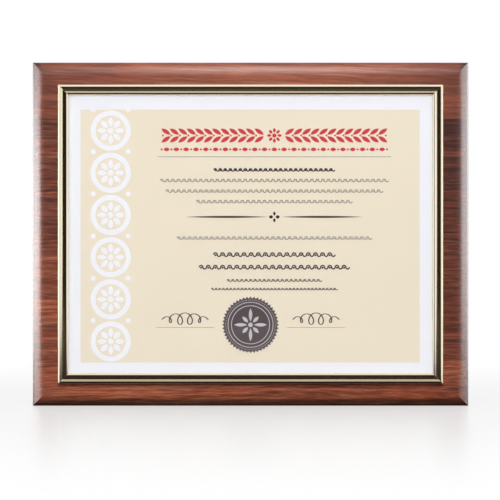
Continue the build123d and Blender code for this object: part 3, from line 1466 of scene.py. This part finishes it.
    def _waves(self, z: float, width: float, radius: float, stroke: float, ink: Material) -> Mesh:
        """A row of small waves, each with a dot in its hollow.

        Args:
            z: The height of the row's middle line.
            width: The room for the row.
            radius: The radius of each half wave.
            stroke: The width of the line.
            ink: Its material.

        Returns:
            A plain mesh.
        """
        pitch = 4 * radius
        count = int(width / pitch)
        left = self.text_middle - pitch * count / 2
        faces = []
        for centre, start in (((left + radius, z), 180), ((left + 3 * radius, z), 360)):
            edges = (arc(centre, radius + side * stroke / 2, start, -180, 10) for side in (1, -1))
            faces += band(*edges)
        faces += disc(stroke * 0.8, 8, (left + radius, z - radius * 0.3))
        return row("waves", self._solid(faces), count, Vector((pitch, 0, 0)), ink)

    def _sign_rules(self) -> Mesh:
        """Two rules to sign on, one each side of the seal."""
        return self._solid([self._rule(x, self.sign_width, self.sign_z) for _, x in self._signs()])


@dataclass
class Seal:
    """A toothed foil wafer with raised rings and a star, printed in light grey."""

    teeth: int = 48
    tooth_depth: float = 1.7
    base: float = 0.06
    ring_radius: float = 17.0
    ring_width: float = 0.55
    ring_gap: float = 2.6
    bead_ring: float = 18.7
    beads: int = 72
    bead_radius: float = 0.33
    star: Rosette = Rosette((9.8, 6.08), 2.6, 2.6, 1.7)

    def build(self) -> None:
        """Build the wafer and what is embossed on it."""
        low, high = (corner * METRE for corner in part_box("certificate_seal"))
        centre = (low + high) / 2
        self.centre = (centre.x, centre.z)
        self.paper, self.top = high.y, low.y
        self.radius = (high.x - low.x) / 2
        foil = FoilFinish().material()
        grey = InkFinish("seal_print", (0.56, 0.53, 0.55), 0.4).material()
        wafer = prism([self._toothed()], self.paper - self.base, self.paper)
        piece = add_piece("wafer_seal", wafer, foil, Body.INSERT)
        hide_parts("certificate_seal")
        add_piece("seal_emboss", self._emboss(grey), grey, Body.INSERT)

    def _toothed(self) -> Outline:
        """The wafer's edge.

        Returns:
            One point for each tooth and one for each dip.
        """
        outline = []
        for tooth in range(self.teeth):
            turn = 360 * tooth / self.teeth
            outline.append(polar(self.centre, self.radius, 90 - turn))
            dip = 90 - turn - 180 / self.teeth
            outline.append(polar(self.centre, self.radius - self.tooth_depth, dip))
        return outline

    def _emboss(self, ink: Material) -> Mesh:
        """Rings, beads and a star, raised from the wafer.

        Args:
            ink: Its material.

        Returns:
            A plain mesh.
        """
        front, back = self.top, self.paper - self.base + SINK
        faces = self.star.faces(self.centre)
        for radius in (self.ring_radius, self.ring_radius - self.ring_gap):
            faces += ring(self.centre, radius, self.ring_width, 96)
        return joined(prism(faces, front, back), self._bead_ring(front, back, ink))

    def _bead_ring(self, front: float, back: float, ink: Material) -> Mesh:
        """Small beads round the wafer.

        Args:
            front: The y of the beads' front.
            back: The y of their back.
            ink: Their material.

        Returns:
            A plain mesh.
        """
        tree = GeometryTree("seal_beads", Count=self.beads, Radius=self.bead_ring / METRE)
        values = {"Vertices": tree.size("Count"), "Radius": tree.size("Radius")}
        circle = tree.node("GeometryNodeMeshCircle", **values)
        place = (self.centre[0] / METRE, 0.0, self.centre[1] / METRE)
        values = {"Geometry": circle, "Translation": place, "Rotation": (math.pi / 2, 0.0, 0.0)}
        tree.repeat(tree.node("GeometryNodeTransform", **values))
        return tree.run(prism(disc(self.bead_radius, 10), front, back), ink)


@dataclass
class Insert:
    """Everything that slides out together: card, certificate, seal, print and cover."""

    def build(self) -> None:
        """Dress and build the layers."""
        dress_node("backing_card", CardFinish().material())
        dress_node("certificate", PaperFinish().material())
        dress_node("cover_sheet", ClearFinish().material())
        Print().build()
        Seal().build()


# Studio


class Role(Enum):
    """What a lamp is for."""

    LIGHT = "light"  # plain light on all but the wood
    WOOD = "wood"  # plain light on the wood
    REAR = "rear"  # plain light on the wood and the card, from behind
    LACQUER = "lacquer"  # its own likeness in the wood's lacquer


@dataclass(frozen=True)
class SoftBox:
    """A soft lamp that looks at the plaque.

    Attributes:
        name: The lamp's name.
        role: What it is for.
        azimuth: Degrees from the camera's side towards the viewer's right.
        elevation: Degrees above the level of what it looks at.
        size: Its width and height in metres.
        radiance: How bright it looks, where paper under plain light is near 1.
        distance: From what it looks at, in metres.
        aim: What it looks at, in X and Z from the plaque's middle, in metres.
    """

    name: str
    role: Role
    azimuth: float
    elevation: float
    size: Point
    radiance: float
    distance: float = 2.0
    aim: Point = (0.0, 0.0)

    def place(self, middle: Vector, takers: bpy.types.Collection) -> None:
        """Add the lamp.

        Args:
            middle: The plaque's middle.
            takers: The pieces that it lights.
        """
        target = middle + Vector((self.aim[0], 0, self.aim[1]))
        turn, rise = math.radians(self.azimuth), math.radians(self.elevation)
        level = math.cos(rise)
        away = Vector((math.sin(turn) * level, -math.cos(turn) * level, math.sin(rise)))
        lamp = bpy.data.lights.new(self.name, "AREA")
        lamp.shape = "RECTANGLE"
        lamp.size, lamp.size_y = self.size
        lamp.energy = self.radiance * math.pi * self.size[0] * self.size[1]
        holder = add_object(self.name, lamp)
        holder.location = target + away * self.distance
        holder.rotation_euler = away.to_track_quat("Z", "Y").to_euler()
        holder.visible_camera = False
        holder.visible_diffuse = self.role is not Role.LACQUER
        holder.visible_glossy = self.role is Role.LACQUER
        holder.light_linking.receiver_collection = takers


@dataclass
class Studio:
    """The camera, the lamps, the floor and the dark room in front of the plaque.

    Attributes:
        fill: How bright the plain fill is.
        floor_gloss, floor_lit: How much of the near floor mirrors, and how much takes shadow.
        floor_fade: How far from the plaque both have died away.
        floor_sideways: How much of a sideways distance's square counts in this.
        table_left, table_right: Where the dark table, which only the plaque sees, begins and ends.
        table_lean: How far each of its sides leans to the left for each metre of depth.
    """

    camera_x: float = -0.0004
    camera_z: float = 0.118
    camera_distance: float = 2.0
    lens: float = 189.9
    sensor: float = 36.0
    fill: float = 0.26
    floor_half: float = 6.0
    floor_z: float = -0.0002
    floor_gloss: float = 0.24
    floor_roughness: float = 0.22
    floor_lit: float = 0.20
    floor_fade: float = 0.80
    floor_sideways: float = 0.6
    table_left: Point = (-0.45, -0.25)
    table_right: Point = (0.28, 0.48)
    table_lean: Point = (0.93, -0.2)
    table_colour: Colour = (0.05, 0.04, 0.032)
    cards_y: float = -2.35
    lamps: tuple[SoftBox, ...] = (
        SoftBox("key_left", Role.LIGHT, -9.0, 5.0, (0.9, 0.9), 9.2),
        SoftBox("key_right", Role.LIGHT, 9.0, 5.0, (0.9, 0.9), 9.0),
        SoftBox("overhead", Role.LIGHT, 0.0, 72.0, (1.5, 1.5), 0.6),
        SoftBox("wood_key", Role.WOOD, -3.0, 33.0, (1.5, 1.1), 6.0),
        SoftBox("wood_front", Role.WOOD, 0.0, 10.0, (1.2, 0.7), 4.3),
        SoftBox("wood_back", Role.REAR, 180.0, 20.0, (1.4, 1.4), 6.0),
        SoftBox("rim_left", Role.LACQUER, -65.0, 1.0, (0.70, 0.26), 49.0, 0.7, (-0.16, 0.0)),
        SoftBox("rim_left_far", Role.LACQUER, -118.0, 1.0, (0.75, 0.30), 16.0, 0.7, (-0.16, 0.0)),
        SoftBox("rim_right", Role.LACQUER, 56.0, 1.0, (0.40, 0.30), 27.0, 0.7, (0.16, 0.03)),
        SoftBox("rim_right_far", Role.LACQUER, 100.0, 1.0, (0.80, 0.36), 20.0, 0.7, (0.16, 0.03)),
        SoftBox("rim_top", Role.LACQUER, 1.0, 44.0, (0.22, 0.56), 20.0, 0.8, (0.01, 0.12)),
    )

    def build(self) -> None:
        """Set the studio up."""
        scene = bpy.context.scene
        scene.view_settings.view_transform = "Standard"
        low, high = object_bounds()
        takers = {role: bpy.data.collections.new(f"{role.value}_takers") for role in Role}
        for name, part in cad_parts.items():
            if name.startswith("stave"):
                for group in takers.values():
                    group.objects.link(part)
        takers[Role.REAR].objects.link(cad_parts["backing_card"])
        for entry in takers[Role.LIGHT].collection_objects:
            entry.light_linking.link_state = "EXCLUDE"
        for lamp in self.lamps:
            lamp.place((low + high) / 2, takers[lamp.role])
        self._camera(scene)
        self._world(scene)
        self._floor()
        self._dark_room()

    def _camera(self, scene: bpy.types.Scene) -> None:
        """A level camera straight in front.

        Args:
            scene: The scene that looks through it.
        """
        camera = bpy.data.cameras.new("camera")
        camera.lens = self.lens
        camera.sensor_width = self.sensor
        holder = add_object("camera", camera)
        holder.location = (self.camera_x, -self.camera_distance, self.camera_z)
        holder.rotation_euler = (math.pi / 2, 0.0, 0.0)
        scene.camera = holder

    def _world(self, scene: bpy.types.Scene) -> None:
        """White to look at and in reflections, and a plain grey fill for the light itself.

        Args:
            scene: The scene that it lies behind.
        """
        world = bpy.data.worlds.new("backdrop")
        world.use_nodes = True
        tree = NodeTree(world.node_tree)
        path = tree.node("ShaderNodeLightPath")
        seen = tree.math("MAXIMUM", path, path.output("Is Glossy Ray"))
        seen = tree.math("MAXIMUM", seen, path.output("Is Transmission Ray"))
        grey = tree.node("ShaderNodeBackground", (self.fill,) * 3)
        white = tree.node("ShaderNodeBackground", WHITE)
        tree.node("ShaderNodeOutputWorld", tree.mix(seen, grey, white))
        scene.world = world

    def _floor(self) -> None:
        """A polished pale floor that keeps the plaque's shadow and a faint reflection."""
        tree = ShaderTree("floor")
        x, y, _ = tree.split(tree.place())
        away = tree.math("SQRT", x * x * self.floor_sideways + y * y) / METRE
        near = 1.0 - away.rising(0.0, self.floor_fade)
        path = tree.node("ShaderNodeLightPath")
        bright = tree.glow(WHITE)
        lit = tree.node("ShaderNodeBsdfDiffuse", (0.9, 0.9, 0.9))
        gloss = tree.node("ShaderNodeBsdfGlossy", WHITE, self.floor_roughness)
        pale = tree.mix(near * self.floor_lit, bright, lit)
        pale = tree.mix(near * self.floor_gloss, pale, gloss)
        depth = tree.math("ABSOLUTE", y) / METRE
        sides = [x / METRE + depth * lean for lean in self.table_lean]
        left = sides[0].rising(*self.table_left)
        right = 1.0 - sides[1].rising(*self.table_right)
        table = tree.node("ShaderNodeBsdfDiffuse", self.table_colour)
        dark = tree.math("MAXIMUM", left * right, path.output("Is Diffuse Ray"))
        seen = tree.mix(path, tree.mix(dark, bright, table), pale)
        half = self.floor_half
        corners = [(x, y, self.floor_z) for x, y in rectangle(-half, half, -half, half)]
        self._stage("floor", corners, tree.finish(seen))

    def _dark_room(self) -> None:
        """Dark and grey cards in front of the plaque, which only polished surfaces see."""
        cards = {
            "dark_card": (-2.3, 0.48, 0.0, 0.8, (0.02, 0.014, 0.010)),
            "grey_card": (-2.3, 2.3, 0.8, 2.6, (0.56, 0.52, 0.48)),
        }
        for name, (left, right, low, high, colour) in cards.items():
            corners = [(x, self.cards_y, z) for x, z in rectangle(left, right, low, high)]
            tree = ShaderTree(name)
            card = self._stage(name, corners, tree.finish(tree.glow(colour)))
            for kind in ("camera", "diffuse", "shadow", "transmission", "volume_scatter"):
                setattr(card, f"visible_{kind}", False)

    def _stage(self, name: str, corners: list[tuple[float, ...]], finish: Material) -> Object:
        """Add a flat quad that isn't part of the plaque.

        Args:
            name: The object's name.
            corners: Its four corners, in metres.
            finish: Its material.

        Returns:
            Its object.
        """
        mesh = bpy.data.meshes.new(name)
        mesh.from_pydata(corners, [], [(0, 1, 2, 3)])
        mesh.materials.append(finish)
        holder = add_object(name, mesh)
        holder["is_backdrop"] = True
        return holder


def main() -> None:
    """Build the plaque and its studio."""
    logging.basicConfig(level=logging.INFO, format="%(name)s: %(message)s")
    for assembly in (Board(), Moulding(), Fasteners(), Insert(), Studio()):
        log.info("building %s", type(assembly).__name__)
        assembly.build()


if __name__ == "__main__":
    main()
